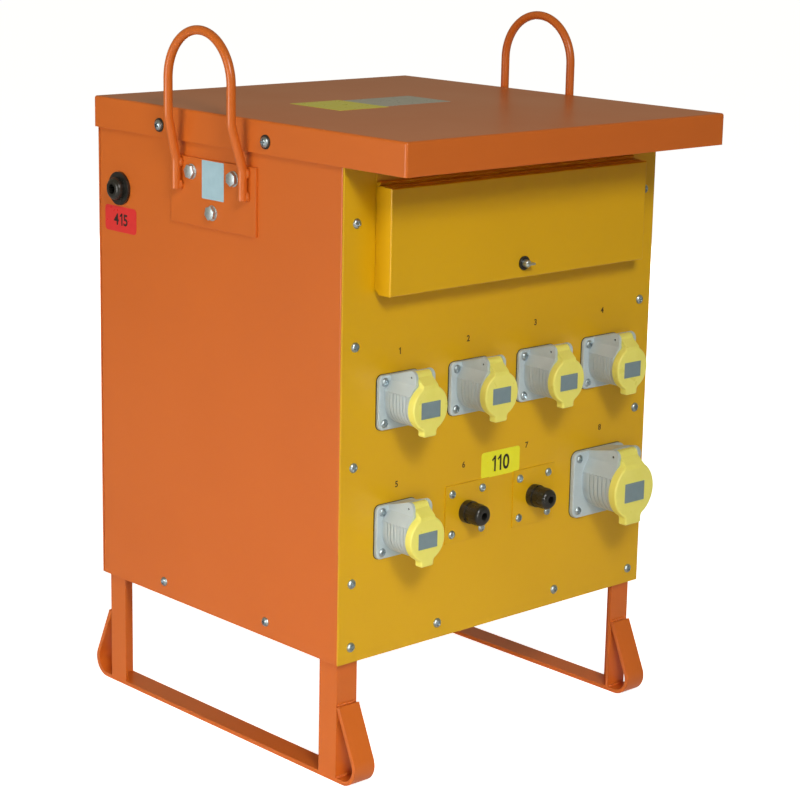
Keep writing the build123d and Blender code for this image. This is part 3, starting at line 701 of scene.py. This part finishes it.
# white to the camera and through glass, a plain warm grey room to mirrors and matt surfaces
ray = addNode(tree, "ShaderNodeLightPath")
seen = addNode(tree, "ShaderNodeMath",
               {0: ray.outputs["Is Camera Ray"], 1: ray.outputs["Is Transmission Ray"]},
               operation="MAXIMUM")
level = addNode(tree, "ShaderNodeMapRange",
                {"Value": seen.outputs[0], "To Min": studio["sky"], "To Max": 1.0})
shine = addNode(tree, "ShaderNodeMath",
                {0: ray.outputs["Is Glossy Ray"], 1: studio["glossSky"] - studio["sky"],
                 2: level.outputs[0]}, operation="MULTIPLY_ADD")
room = addNode(tree, "ShaderNodeMix", {
    "Factor": seen.outputs[0], "A": hexColour(studio["skyColour"]), "B": (1, 1, 1, 1)}, data_type="RGBA")
backdrop = addNode(tree, "ShaderNodeBackground",
                   {"Color": room.outputs["Result"], "Strength": shine.outputs[0]})
addNode(tree, "ShaderNodeOutputWorld", {"Surface": backdrop.outputs[0]})

shape = bmesh.new()
bmesh.ops.create_grid(shape, x_segments=1, y_segments=1, size=studio["floorSize"])
mesh = bpy.data.meshes.new("floor")
shape.to_mesh(mesh)
shape.free()
floor = bpy.data.objects.new("floor", mesh)
bpy.context.scene.collection.objects.link(floor)
# matt white paper that glows to the camera, and faintly to mirrors, so that it meets the white
# background and keeps the shadow
material, tree = newMaterial("matt white paper")
ray = addNode(tree, "ShaderNodeLightPath")
seen = addNode(tree, "ShaderNodeMath",
               {0: ray.outputs["Is Camera Ray"], 1: ray.outputs["Is Transmission Ray"]},
               operation="MAXIMUM")
level = addNode(tree, "ShaderNodeMath", {0: seen.outputs[0], 1: studio["floorGlow"]},
                operation="MULTIPLY")
shine = addNode(tree, "ShaderNodeMath",
                {0: ray.outputs["Is Glossy Ray"], 1: studio["floorShine"], 2: level.outputs[0]},
                operation="MULTIPLY_ADD")
paper = addNode(tree, "ShaderNodeBsdfDiffuse", {"Color": hexColour("EDEDED")})
glow = addNode(tree, "ShaderNodeEmission", {"Color": (1, 1, 1, 1), "Strength": shine.outputs[0]})
both = addNode(tree, "ShaderNodeAddShader", {0: paper.outputs[0], 1: glow.outputs[0]})
addNode(tree, "ShaderNodeOutputMaterial", {"Surface": both.outputs[0]})
mesh.materials.append(material)

for name in ("key", "side", "low", "behind"):
    look = studio[name]
    lamp = bpy.data.lights.new(name, "AREA")
    lamp.size = look["size"]
    lamp.energy = look["power"]
    lamp.spread = math.radians(look.get("spread", 180))
    lamp.color = hexColour(look["colour"])[:3]
    holder = bpy.data.objects.new(name, lamp)
    bpy.context.scene.collection.objects.link(holder)
    holder.visible_glossy = look.get("mirrored", True)
    holder.location = look["at"]
    beam = Vector(look["aim"]) - Vector(look["at"])
    holder.rotation_euler = beam.to_track_quat("-Z", "Y").to_euler()

# camera at the photograph's angle
photoView = {"azimuth": -42.850, "elevation": 13.402, "roll": 1.156, "distance": 2859.4,
             "aim": (68.3, 62.5, 355.3), "focal": 2254.08, "frame": 800}
azimuth = math.radians(photoView["azimuth"])
elevation = math.radians(photoView["elevation"])
roll = math.radians(photoView["roll"])
back = Vector((math.sin(azimuth) * math.cos(elevation), -math.cos(azimuth) * math.cos(elevation),
               math.sin(elevation)))
across = Vector((0, 0, 1)).cross(back).normalized()
upright = back.cross(across)
right = across * math.cos(roll) + upright * math.sin(roll)
up = upright * math.cos(roll) - across * math.sin(roll)
lens = bpy.data.cameras.new("photo view")
lens.sensor_width = 36
lens.lens = photoView["focal"] * 36 / photoView["frame"]
camera = bpy.data.objects.new("photo view", lens)
bpy.context.scene.collection.objects.link(camera)
eye = (Vector(photoView["aim"]) + back * photoView["distance"]) * mm
camera.matrix_world = Matrix.Translation(eye) @ Matrix((right, up, back)).transposed().to_4x4()
bpy.context.scene.camera = camera
bpy.context.scene.view_settings.view_transform = "Standard"
